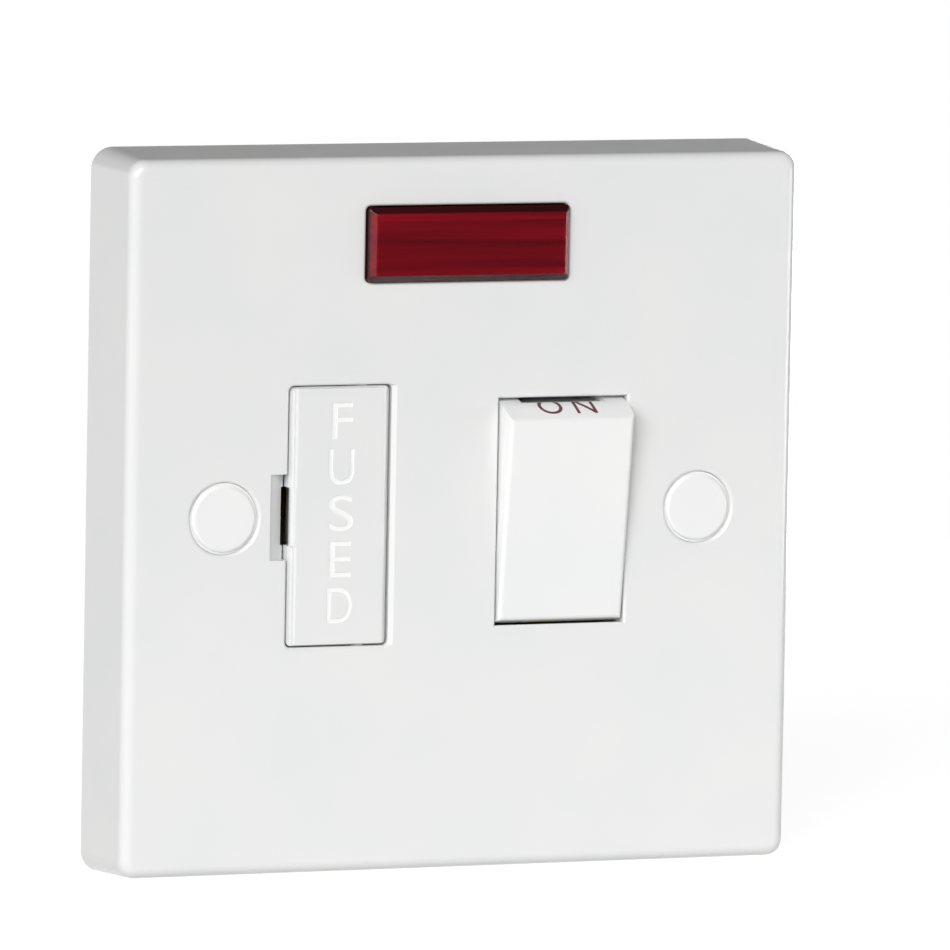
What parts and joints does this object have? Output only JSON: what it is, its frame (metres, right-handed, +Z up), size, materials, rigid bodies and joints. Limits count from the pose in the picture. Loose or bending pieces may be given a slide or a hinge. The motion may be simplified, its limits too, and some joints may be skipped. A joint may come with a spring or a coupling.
{
  "type": "fused spur unit",
  "caption": "Square wall-mounted fused connection unit with a rocker switch, a hinged fuse carrier and a neon indicator lens.",
  "frame": {"origin": "middle of the plate's rear rim, on the wall plane, between the two fixing screws", "axes": "+X to the right of someone facing the plate, +Y into the wall along the fixing screws, +Z up"},
  "size_m": [0.086, 0.0324, 0.086],
  "materials": {
    "white_urea": "satin moulded",
    "housing_plastic": "matt moulded",
    "red_lens": "polished, translucent",
    "glass": "clear",
    "ceramic": "unglazed",
    "brass": "stamped and turned",
    "silver": "polished",
    "plated_steel": "zinc plated",
    "lead_sleeve": "extruded",
    "resistor_lacquer": "lacquered"
  },
  "bodies": {
    "unit": {"front_plate": "white_urea", "screw_cap_left": "white_urea", "screw_cap_right": "white_urea", "rear_housing": "housing_plastic", "neon_lens": "red_lens", "neon_bulb": "glass", "line_strip": "brass", "lower_fuse_clip": "brass", "neutral_strip": "brass", "line_fixed_contact": "brass", "neutral_fixed_contact": "brass", "supply_line_terminal": "brass", "supply_neutral_terminal": "brass", "load_line_terminal": "brass", "earth_terminal": "brass", "load_neutral_terminal": "brass", "line_fixed_tip": "silver", "neutral_fixed_tip": "silver", "fixing_screws": "plated_steel", "housing_screws": "plated_steel", "terminal_screws": "plated_steel", "neon_lead_line": "lead_sleeve", "neon_lead_neutral": "lead_sleeve", "neon_resistor": "resistor_lacquer"},
    "rocker": {"rocker": "white_urea", "line_plunger": "housing_plastic", "neutral_plunger": "housing_plastic", "line_spring": "plated_steel", "neutral_spring": "plated_steel"},
    "carrier": {"fuse_carrier": "white_urea", "fuse_barrel": "ceramic", "fuse_cap_upper": "plated_steel", "fuse_cap_lower": "plated_steel"},
    "line_lever": {"line_lever": "brass", "line_lever_tip": "silver"},
    "neutral_lever": {"neutral_lever": "brass", "neutral_lever_tip": "silver"}
  },
  "joints": [
    {"name": "rocker_tilt", "type": "hinge", "parent": "unit", "child": "rocker", "pos_m": [0.01263, -0.0075, 0], "axis": [1, 0, 0], "range_deg": [-14.2, 0]},
    {"name": "carrier_swing", "type": "hinge", "parent": "unit", "child": "carrier", "pos_m": [-0.0126, -0.01055, 0], "axis": [0, 0, 1], "range_deg": [0, 80]},
    {"name": "line_lever_tilt", "type": "hinge", "parent": "unit", "child": "line_lever", "pos_m": [0.00863, 0.00275, 0], "axis": [1, 0, 0], "range_deg": [0, 17.01]},
    {"name": "neutral_lever_tilt", "type": "hinge", "parent": "unit", "child": "neutral_lever", "pos_m": [0.01663, 0.00275, 0], "axis": [1, 0, 0], "range_deg": [0, 17.01]}
  ],
  "couplings": [
    {"joint": "line_lever_tilt", "follows": "rocker_tilt", "ratio": -1.1972},
    {"joint": "neutral_lever_tilt", "follows": "rocker_tilt", "ratio": -1.1972}
  ]
}
